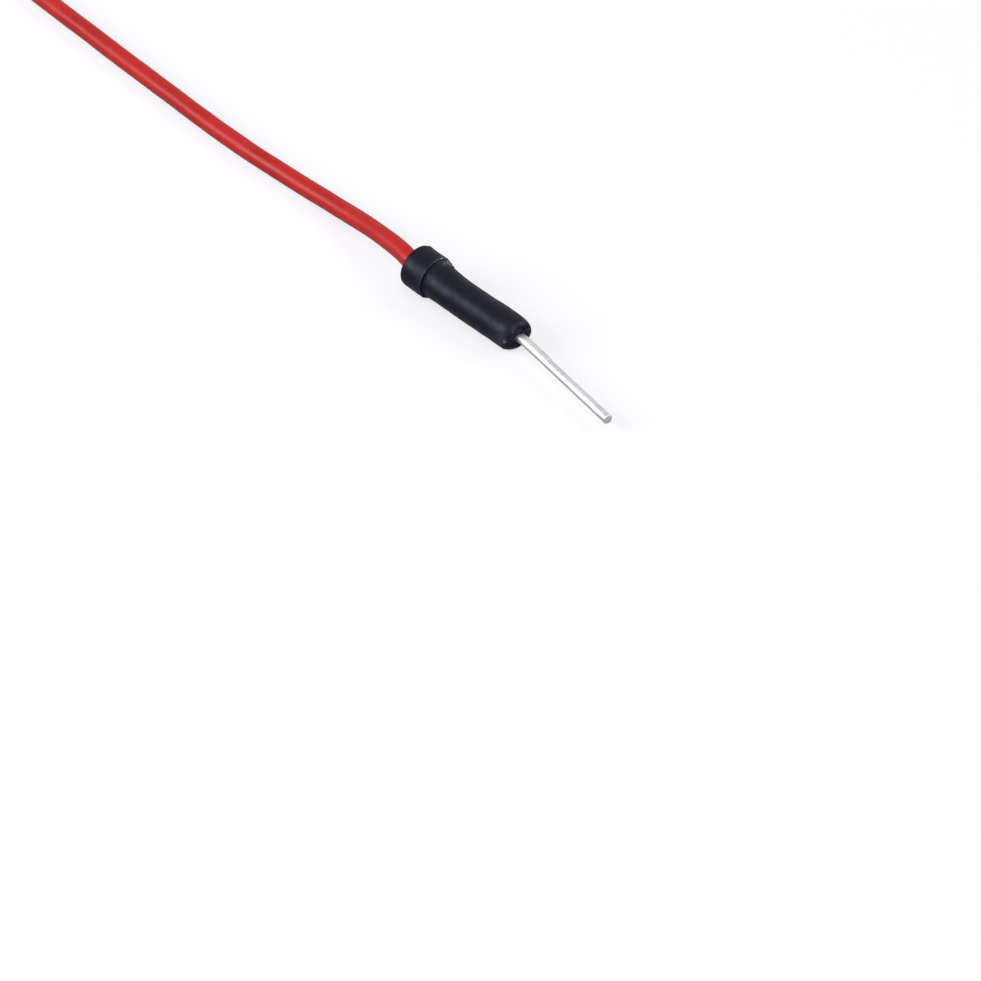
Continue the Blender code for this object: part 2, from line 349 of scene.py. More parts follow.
@dataclass(frozen=True)
class Finish:
    """What every finish has: a name, a roughness, and its Principled shader.

    A relief, in the finishes, is a pattern's strength and its height in millimetres.
    """

    name: str
    roughness: float

    def start(self) -> tuple[Material, NodeTree, Any]:
        """Makes the material with its Principled shader.

        Returns:
            The material, its node tree and its Principled node.
        """
        material = bpy.data.materials.new(self.name)
        material.use_nodes = True
        return material, material.node_tree, material.node_tree.nodes["Principled BSDF"]

    def uneven_roughness(self, tree: NodeTree, noise: Any, low: float, high: float) -> Any:
        """The roughness, with low added where the noise is low and high added where it is high."""
        ends = {"To Min": self.roughness + low, "To Max": self.roughness + high}
        return add_node(tree, "MapRange", {"Value": noise, "From Min": 0.3, "From Max": 0.7, **ends})

    def relief(self, tree: NodeTree, *patterns: tuple[Any, float, float]) -> Any:
        """Raises patterns on the surface, each on top of the one before.

        Args:
            tree: the material's node tree.
            patterns: each one's node, strength and height in millimetres.

        Returns:
            The node that gives the normal.
        """
        under: dict[str, Any] = {}
        for pattern, strength, height in patterns:
            size = {"Strength": strength, "Distance": height * MM}
            under = {"Normal": add_node(tree, "Bump", {"Height": pattern, **size, **under})}
        return under["Normal"]

    def build(self) -> Material:
        """Makes the material.

        Returns:
            The material.
        """
        raise NotImplementedError


@dataclass(frozen=True)
class RedInsulation(Finish):
    """Plasticised red PVC, extruded over the strands.

    The eye sees a deep warm red with a soft satin sheen, fine lines drawn along it by the die, faint
    clouds and chalky scuffs where it was handled, and a little light that goes in and comes out.
    """

    name: str = "red_pvc_extruded"
    roughness: float = 0.34
    colour: str = "#B8221E"
    deep_colour: str = "#AB1D1A"
    chalky_colour: str = "#C23A36"
    specular: float = 0.2
    light_share: float = 0.12
    light_depth_mm: float = 0.25
    cloud_mm: float = 2.2
    scuffs_per_mm: float = 2.6
    scuffing: float = 0.45
    line_width_mm: float = 0.12
    line_squash: float = 0.05
    line_relief: tuple[float, float] = (0.16, 0.03)
    grain_mm: float = 0.2
    grain_relief: tuple[float, float] = (0.14, 0.05)

    def build(self) -> Material:
        """Makes the material.

        Returns:
            The material.
        """
        material, tree, shader = self.start()
        straight = add_node(tree, "Attribute", attribute_name=STRAIGHT).outputs["Vector"]
        # Die lines are a few hundredths of a millimetre apart: drawn coarser, so that they show
        drawn = add_node(tree, "Mapping", {"Vector": straight, "Scale": (self.line_squash, 1.0, 1.0)})
        clouds, scuffs, lines, grain = (
            add_node(tree, "TexNoise", {"Vector": at, "Scale": scale, "Detail": detail, "Roughness": rough})
            for at, scale, detail, rough in (
                (straight, 1.0 / self.cloud_mm, 3.0, 0.55),
                (straight, self.scuffs_per_mm, 6.0, 0.7),
                (drawn, 1.0 / self.line_width_mm, 2.0, 0.5),
                (straight, 1.0 / self.grain_mm, 3.0, 0.6),
            )
        )
        tones = ((0.32, self.deep_colour), (0.56, self.colour))
        tint = add_node(tree, "ValToRGB", {"Fac": clouds}, tones)
        scuffed = {"Value": scuffs, "From Min": 0.62, "From Max": 0.8, "To Max": self.scuffing}
        layers = {0: add_node(tree, "MapRange", scuffed), 6: tint, 7: linear(self.chalky_colour)}
        colour = add_node(tree, "Mix", layers, data_type="RGBA")
        looks = {
            "Base Color": colour.outputs[2],
            "Roughness": self.uneven_roughness(tree, clouds, -0.03, 0.05),
            "Normal": self.relief(tree, (lines, *self.line_relief), (grain, *self.grain_relief)),
            "IOR": PVC_IOR,
            "Specular IOR Level": self.specular,
            "Subsurface Weight": self.light_share,
            "Subsurface Radius": (1.0, 0.25, 0.2),
            "Subsurface Scale": self.light_depth_mm * MM,
        }
        connect(tree, shader, looks)
        return material


@dataclass(frozen=True)
class BlackMoulding(Finish):
    """Soft black PVC, injection moulded over the pin and the wire.

    The eye sees a near-black with a cool grey sheen that is broad and a little mottled, fine grain from
    the spark-eroded mould, paler rubbed edges with a painted highlight on the collar's front edge, pale
    spots and specks of painted glints on the torn flash at the step, and a few specks of dust.
    """

    name: str = "black_pvc_moulded"
    roughness: float = 0.4
    colour: str = "#0C0E1A"
    grey_colour: str = "#131522"
    # Paler rubbed wear, which also paints the highlight on the collar's front edge
    rubbed_and_highlight_colour: str = "#474852"
    # Dust specks, and painted glint specks on the torn flash
    speck_and_glint_colour: str = "#7A7B85"
    # Painted glints on the torn flash
    flash_glint_colour: str = "#A9AAB2"
    specular: float = 0.12
    mottle_mm: float = 0.9
    mottle_relief: tuple[float, float] = (0.38, 0.1)
    grain_mm: float = 0.14
    grain_relief: tuple[float, float] = (0.22, 0.03)
    # The spots of painted glints on the torn flash, and how marked it is where they show
    glint_spots_per_mm: float = 3.4
    flash_glint_wear: tuple[float, float] = (0.6, 0.95)
    specks_per_mm: float = 3.1
    speck_outline: tuple[float, float] = (0.24, 0.1)
    speck_raggedness: float = 0.3
    speck_chance: float = 0.004
    # More specks where marked: on the torn flash these are painted glints
    marked_and_glint_speck_chance: float = 0.6

    def build(self) -> Material:
        """Makes the material.

        Returns:
            The material.
        """
        material, tree, shader = self.start()
        straight = add_node(tree, "Attribute", attribute_name=STRAIGHT).outputs["Vector"]
        # Wear and marks, with the painted highlight and painted glints that the housing carries in it
        wear = add_node(tree, "Attribute", attribute_name=WEAR_AND_HIGHLIGHTS).outputs["Fac"]
        # Mould grain is some hundredths of a millimetre across: drawn coarser, so that it shows
        mottle, grain, glint_spots, ragged = (
            add_node(
                tree, "TexNoise", {"Vector": straight, "Scale": scale, "Detail": detail, "Roughness": rough}
            )
            for scale, detail, rough in (
                (1.0 / self.mottle_mm, 4.0, 0.6),
                (1.0 / self.grain_mm, 2.0, 0.6),
                (self.glint_spots_per_mm, 4.0, 0.7),
                (7.0, 2.0, 0.6),
            )
        )
        # Specks of 0.03 to 0.1 mm with uneven outlines: a few of dust everywhere, and many more where the
        # piece is marked, which on the torn flash are painted glints
        shift = {0: ragged.outputs["Color"], 1: (self.speck_raggedness,) * 3, 2: straight}
        shifted = add_node(tree, "VectorMath", shift, operation="MULTIPLY_ADD")
        cells = add_node(tree, "TexVoronoi", {"Vector": shifted, "Scale": self.specks_per_mm})
        number = add_node(tree, "SeparateColor", {"Color": cells.outputs["Color"]})
        odds = {0: wear, 1: self.marked_and_glint_speck_chance, 2: self.speck_chance}
        chance = add_node(tree, "Math", odds, operation="MULTIPLY_ADD")
        chosen = add_node(tree, "Math", {0: number, 1: chance}, operation="LESS_THAN")
        # Painted glints: the torn flash at the step is painted pale in spots where the piece is marked most
        rubbing, glinting, near_speck = (
            add_node(tree, "MapRange", {"Value": value, "From Min": start, "From Max": end, "To Min": least})
            for value, start, end, least in (
                (grain, 0.35, 0.65, 0.35),
                (wear, *self.flash_glint_wear, 0.0),
                (cells, *self.speck_outline, 0.0),
            )
        )
        glint_spotted = {"Value": glint_spots, "From Min": 0.46, "From Max": 0.6, "To Max": glinting}
        tones = ((0.38, self.colour), (0.66, self.grey_colour))
        colour = add_node(tree, "ValToRGB", {"Fac": mottle}, tones)
        # Over the mottle: rubbed wear with the painted edge highlight, painted glints, dust and glint specks
        for share, over in (
            (add_node(tree, "Math", {0: rubbing, 1: wear}, operation="MULTIPLY"), self.rubbed_and_highlight_colour),
            (add_node(tree, "MapRange", glint_spotted), self.flash_glint_colour),
            (add_node(tree, "Math", {0: near_speck, 1: chosen}, operation="MULTIPLY"), self.speck_and_glint_colour),
        ):
            layers = {0: share, 6: colour, 7: linear(over)}
            colour = add_node(tree, "Mix", layers, data_type="RGBA").outputs[2]
        looks = {
            "Base Color": colour,
            "Roughness": self.uneven_roughness(tree, mottle, 0.1, -0.07),
            "Normal": self.relief(tree, (grain, *self.grain_relief), (mottle, *self.mottle_relief)),
            "IOR": PVC_IOR,
            "Specular IOR Level": self.specular,
        }
        connect(tree, shader, looks)
        return material


@dataclass(frozen=True)
class TinnedPin(Finish):
    """Brass wire, drawn, tin plated and sheared to length.

    The eye sees a bright, faintly warm silver with fine lines along it, faint bands across it where the
    feed rollers held it, duller patches in the plating, and a rougher sheared end.
    """

    name: str = "tinned_brass_drawn"
    roughness: float = 0.4
    colour: str = "#E2E2E1"
    dull_colour: str = "#CDCED1"
    sheared_colour: str = "#DEDDDA"
    sheared_roughness: float = 0.3
    patches_per_mm: float = 0.9
    line_width_mm: float = 0.05
    line_squash: float = 0.03
    line_relief: tuple[float, float] = (0.03, 0.01)
    band_mm: float = 0.16
    band_squash: float = 0.25
    band_relief: tuple[float, float] = (0.04, 0.01)

    def build(self) -> Material:
        """Makes the material.

        Returns:
            The material.
        """
        material, tree, shader = self.start()
        straight = add_node(tree, "Attribute", attribute_name=STRAIGHT).outputs["Vector"]
        wear = add_node(tree, "Attribute", attribute_name=WEAR_AND_HIGHLIGHTS).outputs["Fac"]
        drawn, rolled = (
            add_node(tree, "Mapping", {"Vector": straight, "Scale": scale})
            for scale in ((self.line_squash, 1.0, 1.0), (1.0, self.band_squash, self.band_squash))
        )
        lines, bands, patches = (
            add_node(tree, "TexNoise", {"Vector": at, "Scale": scale, "Detail": detail, "Roughness": rough})
            for at, scale, detail, rough in (
                (drawn, 1.0 / self.line_width_mm, 2.0, 0.5),
                (rolled, 1.0 / self.band_mm, 3.0, 0.6),
                (straight, self.patches_per_mm, 5.0, 0.65),
            )
        )
        tones = ((0.34, self.dull_colour), (0.52, self.colour))
        plating = add_node(tree, "ValToRGB", {"Fac": patches}, tones)
        layers = {0: wear, 6: plating, 7: linear(self.sheared_colour)}
        colour = add_node(tree, "Mix", layers, data_type="RGBA")
        gloss = {0: wear, 1: self.sheared_roughness, 2: self.uneven_roughness(tree, bands, -0.08, 0.1)}
        looks = {
            "Base Color": colour.outputs[2],
            "Roughness": add_node(tree, "Math", gloss, operation="MULTIPLY_ADD"),
            "Normal": self.relief(tree, (lines, *self.line_relief), (bands, *self.band_relief)),
            "Metallic": 1.0,
        }
        connect(tree, shader, looks)
        return material


@dataclass(frozen=True)
class BareCopper(Finish):
    """Annealed copper strand, drawn bright and left bare.

    The eye sees a warm salmon metal with faint darker tarnish.
    """

    name: str = "copper_strand_bare"
    roughness: float = 0.3
    colour: str = "#D98C66"
    tarnished_colour: str = "#A5603F"
    tarnish_mm: float = 0.5
    tarnish_relief: tuple[float, float] = (0.15, 0.01)

    def build(self) -> Material:
        """Makes the material.

        Returns:
            The material.
        """
        material, tree, shader = self.start()
        place = add_node(tree, "TexCoord").outputs["Object"]
        # Object coordinates are metres
        scale = 1.0 / (self.tarnish_mm * MM)
        patches = {"Vector": place, "Scale": scale, "Detail": 3.0, "Roughness": 0.6}
        tarnish = add_node(tree, "TexNoise", patches)
        tones = ((0.35, self.tarnished_colour), (0.6, self.colour))
        looks = {
            "Base Color": add_node(tree, "ValToRGB", {"Fac": tarnish}, tones),
            "Roughness": self.roughness,
            "Normal": self.relief(tree, (tarnish, *self.tarnish_relief)),
            "Metallic": 1.0,
        }
        connect(tree, shader, looks)
        return material


@dataclass(frozen=True)
class PaleSurface(Finish):
    """Matt white photographic card: white to the camera and in reflections, with a soft shadow."""

    name: str = "white_card_matt"
    roughness: float = 0.9
    colour: str = "#96969E"
    glow: float = 0.68
    glossy_share: float = 0.2

    def build(self) -> Material:
        """Makes the material: the card's own light is added for what the camera or metal sees of it.

        Returns:
            The material.
        """
        material, tree, shader = self.start()
        looks = {"Base Color": linear(self.colour), "Roughness": self.roughness, "Specular IOR Level": 0.0}
        connect(tree, shader, looks)
        ray = add_node(tree, "LightPath")
        rays = {0: ray.outputs["Is Glossy Ray"], 1: self.glossy_share, 2: seen_straight(tree, ray)}
        seen = add_node(tree, "Math", rays, operation="MULTIPLY_ADD")
        glow = add_node(tree, "Math", {0: seen, 1: self.glow}, operation="MULTIPLY")
        light = add_node(tree, "Emission", {"Color": (1.0, 1.0, 1.0, 1.0), "Strength": glow})
        total = add_node(tree, "AddShader", {0: shader, 1: light})
        connect(tree, tree.nodes["Material Output"], {"Surface": total})
        return material


# Pieces


@dataclass
class Plug:
    """One moulded plug, with its pin: sizes in millimetres, and where it lies.

    In the plug's own frame the first axis is distance from the rear face along the plug, the second
    points up and the third to the right of the way to the pin.
    """

    end: End
    rear_xy: tuple[float, float]
    turn: float
    parting: float
    pin_bend: float
    seed: int
    hollow: float = 0.0
    slant: float = 0.0
    housing_length: float = 11.8
    collar_length: float = 2.2
    collar_radius: float = 1.75
    body_radius: float = 1.525
    nose_radius: float = 1.42
    nose_length: float = 1.0
    nose_flat_radius: float = 1.0
    ridge_height: float = 0.035
    ridge_width: float = 0.055
    nib_height: float = 0.09
    torn_height: float = 0.13
    crease_depth: float = 0.012
    flat_share: float = 0.4
    wire_radius: float = 0.75
    wire_depth: float = 4.0
    bare_stretch: float = 0.5
    clearance: float = 0.04
    mouth_gap: float = 0.012
    throat_gap: float = 0.003
    pin_radius: float = 0.375
    pin_exposed: float = 11.3
    pin_bend_radius: float = 3.0
    coat_height: float = 0.055
    coat_end: float = 3.5
    barrel_radius: float = 0.575
    barrel_length: float = 3.4
    barrel_shoulder: float = 0.2
    groove_depth: float = 0.06
    groove_width: float = 0.4
    groove_inset: float = 1.02
    strand_bore_radius: float = 0.30
    strand_seat: float = 2.9
    housing_steps: int = 256
    pin_steps: int = 96
    skin_spacing: float = 0.06
    bore_spacing: float = 0.4
    pin_spacing: float = 0.05
    axes: Array = field(init=False)
    rear: Array = field(init=False)

    def __post_init__(self) -> None:
        """Works out how the plug lies: it rests on its collar's front edge and its nose."""
        fall = self.collar_radius - self.nose_radius
        run = self.housing_length - self.nose_length - self.collar_length
        tilt = math.atan2(fall, run)
        lift = self.collar_radius * math.cos(tilt) + self.collar_length * math.sin(tilt)
        flat = math.cos(tilt)
        along = np.array([math.cos(self.turn) * flat, math.sin(self.turn) * flat, -math.sin(tilt)])
        up = np.array([0.0, 0.0, 1.0])
        raised = unit(up - along * (up @ along))
        self.axes = np.stack([along, raised, np.cross(along, raised)])
        self.rear = np.array([*self.rear_xy, lift])

    def placed(self, local: Array) -> Array:
        """Carries points from the plug's own frame in millimetres into the world in metres."""
        return (self.rear + local @ self.axes) * MM

    def housing_profile(self) -> Array:
        """The housing's half section as a loop of (distance, radius) points.

        It runs from the wire's mouth out over the rear face, the collar, the step, the taper and the
        dome, into the pin's mouth, and back through the stepped bore.

        Returns:
            The loop's points, without the first repeated.
        """
        mouth = self.wire_radius + self.mouth_gap
        throat = self.pin_radius + self.throat_gap
        end = self.housing_length
        nose_start = end - self.nose_length
        angle = np.linspace(0.0, np.pi / 2, 15)[1:-1]
        dome_radius = self.nose_flat_radius + (self.nose_radius - self.nose_flat_radius) * np.cos(angle)
        dome = np.stack([nose_start + self.nose_length * np.sin(angle), dome_radius], axis=-1)
        step, collar = self.collar_length, self.collar_radius
        back = [(0.5, mouth), (0.0, mouth), (0.0, collar), (step, collar)]
        taper = [(step, self.body_radius), (nose_start, self.nose_radius)]
        front = rounded_profile(np.array(back + taper), np.array([0.0, 0.06, 0.13, 0.08, 0.14, 0.0]))
        rim = [tuple(dome[-1]), (end, self.nose_flat_radius - 0.06), (end, throat + 0.02)]
        lip = [(end - 0.03, throat), (end - 0.6, throat)]
        nose = rounded_profile(np.array(rim + lip), np.array([0.0, 0.04, 0.01, 0.01, 0.0]))[1:]
        pin_bore = self.pin_radius + self.clearance
        chamber = self.barrel_radius + self.clearance
        wire_bore = self.wire_radius + self.clearance
        wire_end = self.wire_depth + self.clearance
        barrel_end = wire_end + self.bare_stretch + self.barrel_length
        shank_seat = [(end - 0.7, pin_bore), (barrel_end + self.barrel_shoulder, pin_bore)]
        barrel_seat = [(barrel_end, chamber), (wire_end, chamber)]
        inside = np.array(shank_seat + barrel_seat + [(wire_end, wire_bore), (0.6, wire_bore)])
        outside = resampled(np.vstack([front, dome, nose]), self.skin_spacing)
        bore = resampled(np.vstack([nose[-1:], inside, front[:1]]), self.bore_spacing)
        return np.vstack([outside, bore[1:-1]])

    def moulded_radius(self, s: Array, r: Array, a: Array, ridge: Array) -> Array:
        """The housing's radius with what the mould, the handling and the trimming left on it.

        On the outside the radius gains the parting ridges, a slow unevenness of about a hundredth of a
        millimetre and torn flash at the step. It loses a faint crease where the dome starts, a hollow
        between the collar and the nose, by a cosine round the plug, and a flat just after the step.

        Args:
            s: distance from the rear face.
            r: the plain radius.
            a: angle round the plug.
            ridge: the parting ridges' height.

        Returns:
            The radius, as (ring, point).
        """
        step, end = self.collar_length, self.housing_length
        dome = end - self.nose_length
        outer = step_up(r, 0.9, 1.15)
        uneven = 0.007 * ripple(s, a, self.seed, 2.6) + 0.003 * ripple(s, a, self.seed + 1, 0.7, 6)
        uneven = uneven * (1.0 - step_up(s, end - 0.75, end - 0.15))
        ridge = ridge * (1.0 - step_up(s, end - 0.4, end - 0.05))
        crease = self.crease_depth * bump_at(s, dome, 0.09)
        torn = self.torn_height * np.abs(ripple(s, a, self.seed + 4, 0.4, 14)) * self.at_step(s, a)
        waist = step_up(s, step, step + 2.4) * (1.0 - step_up(s, step + 2.7, dome))
        flat = bump_at(s, step + 0.9, 1.3) * step_up(s, step, step + 0.3)
        flat = self.flat_share * flat * bump_at(wrapped(a - 0.8), 0.0, 0.5)
        hollow = self.hollow * (waist * (1.0 + np.cos(a + 0.9)) / 2.0 + flat)
        return r + outer * (uneven + ridge - crease + torn - hollow)

    def at_step(self, s: Array, a: Array) -> Array:
        """1 at the torn flash beside the ridge and just after the step, falling to 0 round it."""
        along = bump_at(s, self.collar_length + 0.35, 0.42)
        return along * bump_at(wrapped(a - self.parting - 0.2), 0.0, 0.42)

    def parting_ridges(self, s: Array, r: Array, a: Array) -> Array:
        """The height of the ridges at the parting angle and opposite it.

        Each one's section is a bell, its height wanders along the plug, and the first one has a nib of
        flash after the step and a low one at the rear.

        Args:
            s: distance from the rear face.
            r: the plain radius.
            a: angle round the plug.

        Returns:
            The height, as (ring, point).
        """
        ridge = np.zeros((len(s), self.housing_steps))
        for side in (0, 1):
            off = wrapped(a - self.parting - side * np.pi) * np.maximum(r, 0.4)
            wander = 1.0 + 0.12 * ripple(s, 0.0 * a, self.seed + 2 + side, 1.6, 0)
            height = self.ridge_height * np.clip(wander, 0.3, 2.0)
            nib = bump_at(s, self.collar_length + 0.8, 0.13) + bump_at(s, 0.35, 0.2) / 3.0
            height = height + self.nib_height * nib * (1 - side)
            ridge = ridge + height * np.exp(-((off / self.ridge_width) ** 2))
        return ridge

    def housing_wear_and_highlights(self, s: Array, r: Array, a: Array, ridge: Array) -> Array:
        """How marked the housing is: edges, ridges, the nose's low side, the flash and the face, with a
        painted highlight on the collar's front edge and painted glints on the torn flash.

        Args:
            s: distance from the rear face.
            r: the plain radius.
            a: angle round the plug.
            ridge: the parting ridges' height.

        Returns:
            The wear, with the painted highlight and glints, from 0 to 1, as (ring, point).
        """
        end = self.housing_length
        edge = bump_at(s, 0.0, 0.09) * step_up(r, 1.5, 1.7)
        # The collar's front edge is marked more, which paints a highlight along it on top of its rubbed wear
        edge = edge + 1.6 * bump_at(s, self.collar_length, 0.09) * step_up(r, 1.64, 1.72)
        low_nose = bump_at(s, end - 0.7, 0.8) * bump_at(wrapped(a - 1.5), 0.0, 0.7)
        wear = 0.45 * edge + 0.3 * np.clip(ridge / 0.05, 0.0, 1.0)
        # The torn flash at the step is marked most, which paints glints on it as pale spots and specks
        wear = wear + 0.6 * low_nose + 1.2 * self.at_step(s, a)
        face = step_up(s, end - 0.5, end - 0.2) * step_up(r, 0.42, 0.55)
        blotches = np.clip(0.4 + 0.5 * ripple(2.0 * r, a, self.seed + 6, 1.2, 7), 0.0, 1.0)
        return np.clip(wear * step_up(r, 0.9, 1.15) + 0.45 * face * blotches, 0.0, 1.0)

    def build_housing(self) -> Object:
        """The moulded housing as one looped surface of revolution, uneven as a soft moulding is.

        A point at distance s, radius r and angle a is (s, r cos a, r sin a). The nose is cut back by
        the slant on one side, again by a cosine round the plug.

        Returns:
            The housing's object.
        """
        profile = self.housing_profile()
        s, r = profile[:, :1], profile[:, 1:]
        a = np.linspace(0.0, 2.0 * np.pi, self.housing_steps, endpoint=False)[None, :]
        ridge = self.parting_ridges(s, r, a)
        radius = self.moulded_radius(s, r, a, ridge)
        cut = self.slant * (1.0 + np.cos(a - 2.2)) / 2.0
        cut = cut * step_up(s, self.housing_length - 1.2, self.housing_length)
        straight = np.stack([s - cut + 0 * radius, radius * np.cos(a), radius * np.sin(a)], axis=-1)
        wear = self.housing_wear_and_highlights(s, r, a, ridge)
        made = surface(f"{self.end.value}_moulded_housing", self.placed(straight), straight, wear, True)
        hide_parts(f"{self.end.value}_housing")
        return made

    def pin_profile(self) -> Array:
        """The pin's half section as an open profile of (distance, radius) points.

        It starts in the strand bore's floor, comes out of the barrel's mouth, runs over the barrel with
        its two rolled grooves, and along the shank to the sheared end.

        Returns:
            The profile's points.
        """
        mouth = self.wire_depth + self.bare_stretch
        end = mouth + self.barrel_length
        floor = mouth + self.strand_seat + self.clearance
        r, g = self.barrel_radius, self.barrel_radius - self.groove_depth
        tip = self.housing_length + self.pin_exposed
        grooves = []
        for middle in (mouth + self.groove_inset, end - self.groove_inset):
            for step, radius in ((-0.5, r), (-0.25, g), (0.25, g), (0.5, r)):
                grooves.append((middle + step * self.groove_width, radius))
        bore, shank = self.strand_bore_radius, self.pin_radius
        behind = [(floor, 0.05), (floor, bore), (mouth, bore), (mouth, r)]
        ahead = [(end, r), (end + self.barrel_shoulder, shank), (tip, shank), (tip, 0.05)]
        radii = np.array([0.0, 0.03, 0.03, 0.04] + [0.05] * len(grooves) + [0.08, 0.08, 0.07, 0.0])
        return resampled(rounded_profile(np.array(behind + grooves + ahead), radii, 5), self.pin_spacing)

    def build_pin(self) -> Object:
        """The pin as one swept surface with what drawing and shearing left on it.

        A point at distance s and angle a is the path's point at s plus r cos a up and r sin a sideways.
        The path is straight to the housing's nose, then follows an arc, then is straight again. The
        radius gains fine waves along the shank, a thicker coat near the nose that stops short, and a
        flared burr at the end, which bulges by a parabola.

        Returns:
            The pin's object.
        """
        profile = self.pin_profile()
        s, r = profile[:, :1], profile[:, 1:]
        a = np.linspace(0.0, 2.0 * np.pi, self.pin_steps, endpoint=False)[None, :]
        out = s - self.housing_length
        shank = step_up(out, -0.2, 0.3) * step_up(r, 0.1, 0.3)
        tip = self.pin_exposed
        waves = 0.0012 * ripple(s, a, self.seed + 11, 2.4, 2) + 0.0002 * ripple(s, a, self.seed + 12, 0.5, 3)
        coat = self.coat_height * (1.0 - step_up(out, self.coat_end - 0.15, self.coat_end))
        coat = coat * bump_at(wrapped(a + 0.9), 0.0, 0.8) * step_up(out, -0.4, -0.3)
        flare = bump_at(out, tip, 0.16) * (0.02 + 0.03 * np.cos(a - 0.6) ** 2)
        radius = r + shank * (waves + flare * step_up(r, 0.25, 0.34)) + coat
        raggedness = 0.012 * ripple(10.0 * r, a, self.seed + 13, 3.0, 4) * step_up(out, tip - 0.02, tip)
        bulge = 0.06 * (1.0 - (r / self.pin_radius) ** 2) * step_up(out, tip - 0.3, tip - 0.2)
        bend = abs(self.pin_bend)
        arc = self.pin_bend_radius * bend
        turned = np.clip(out / self.pin_bend_radius, 0.0, bend)
        beyond = np.clip(out - arc, 0.0, None)
        ahead = np.where(out > 0, self.pin_bend_radius * np.sin(turned) + beyond * math.cos(bend), out)
        aside = self.pin_bend_radius * (1 - np.cos(turned)) + beyond * math.sin(bend)
        aside = np.where(out > 0, aside, 0.0)
        up, right = radius * np.cos(a), radius * np.sin(a)
        heading, slope = np.cos(turned), np.sin(turned)
        forward = self.housing_length + ahead - slope * right + raggedness + bulge
        local = np.stack([forward, up, aside + heading * right], axis=-1)
        straight = np.stack([s + 0 * radius, up, right], axis=-1)
        wear = step_up(out, tip - 0.07, tip - 0.01) * (1.0 - 0.6 * step_up(r, 0.28, 0.36))
        wear = np.clip(wear + 0.15 * bump_at(out, 0.0, 0.25) * shank, 0.0, 1.0)
        made = surface(f"{self.end.value}_tinned_pin", self.placed(local), straight, wear, False)
        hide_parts(f"{self.end.value}_pin")
        return made

    def dress(self, moulding: Material, tin: Material) -> None:
        """Builds the housing and the pin and gives them their finishes.

        Args:
            moulding: the housing's material.
            tin: the pin's material.
        """
        housing, pin = self.build_housing(), self.build_pin()
        for piece, material, slot in ((housing, moulding, "black_pvc"), (pin, tin, "tinned_brass")):
            piece.data.materials.append(material)
            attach(piece, BODY)
            log.info("built %s with %d faces", piece.name, len(piece.data.polygons))


@dataclass
class InsulatedWire:
    """The red insulated wire between the plugs, in millimetres.

    route holds the places that it passes: x, y and the lift above lying flat on the surface.
    """

    near: Plug
    far: Plug
    diameter: float = 1.5
    spacing: float = 0.16
    around: int = 64
    seed: int = 40
    route: tuple[tuple[float, float, float], ...] = (
        (36.4, 3.75, 1.14),
        (34.1, 4.12, 0.99),
        (31.1, 4.52, 0.62),
        (28.1, 4.75, 0.25),
        (25.1, 4.84, 0.05),
        (22.1, 4.79, 0.0),
        (18.1, 4.73, 0.0),
        (13.1, 4.84, 0.0),
        (7.1, 5.20, 0.0),
        (1.1, 5.56, 0.0),
        (-4.4, 5.95, 0.0),
        (-9.9, 6.33, 0.0),
        (-15.4, 6.83, 0.0),
        (-20.9, 7.22, 0.0),
        (-26.0, 7.24, 0.06),
        (-30.6, 6.76, 0.35),
        (-34.6, 5.93, 0.78),
        (-37.6, 4.98, 1.04),
    )

    def centre_line(self) -> Array:
        """The wire's centre line, from its seat in one plug to its seat in the other.

        Returns:
            Points in millimetres.
        """
        lying = self.diameter / 2
        laid = np.array(self.route) + np.array([0.0, 0.0, lying])
        points = np.vstack([self.near.rear, laid, self.far.rear])
        between = smooth_route(points, -self.near.axes[0], self.far.axes[0], self.spacing)
        between[:, 2] = np.maximum(between[:, 2], lying)
        seat = np.linspace(self.near.wire_depth, 0.0, 24, endpoint=False)[:, None]
        into_near = self.near.rear + self.near.axes[0] * seat
        into_far = (self.far.rear + self.far.axes[0] * seat)[::-1]
        return np.vstack([into_near, between, into_far])

    def build(self) -> Object:
        """The wire as a tube along its centre line, with the die's and the handling's unevenness.

        A point at distance s and angle a is the centre line's point at s plus r cos a along the side
        vector and r sin a along the one square to it. The side vector is up x tangent, at length one.

        Returns:
            The wire's object.
        """
        line = self.centre_line()
        tangent = unit(np.gradient(line, axis=0))
        side = unit(np.cross([0.0, 0.0, 1.0], tangent))
        over = np.cross(tangent, side)
        lengths = np.linalg.norm(np.diff(line, axis=0), axis=1)
        s = np.concatenate([[0.0], np.cumsum(lengths)])[:, None]
        a = np.linspace(0.0, 2.0 * np.pi, self.around, endpoint=False)[None, :]
        uneven = 0.006 * ripple(s, a, self.seed, 3.5, 2) + 0.002 * ripple(s, a, self.seed + 1, 0.8, 4)
        first, last = self.near.wire_depth, s[-1, 0] - self.far.wire_depth
        free = step_up(s, first, first + 1.0) * (1.0 - step_up(s, last - 1.0, last))
        radius = self.diameter / 2 + uneven * free
        cos, sin = radius * np.cos(a), radius * np.sin(a)
        rings = line[:, None, :] + cos[..., None] * side[:, None, :] + sin[..., None] * over[:, None, :]
        straight = np.stack([s + 0 * radius, cos, sin], axis=-1)
        made = surface("red_insulation", rings * MM, straight, np.zeros((1, 1)), False)
        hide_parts("insulated_wire")
        return made

    def dress(self, insulation: Material) -> None:
        """Args:
            insulation: the wire's material.
        """
        made = self.build()
        made.data.materials.append(insulation)
        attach(made, BODY)
        line = self.centre_line() * MM


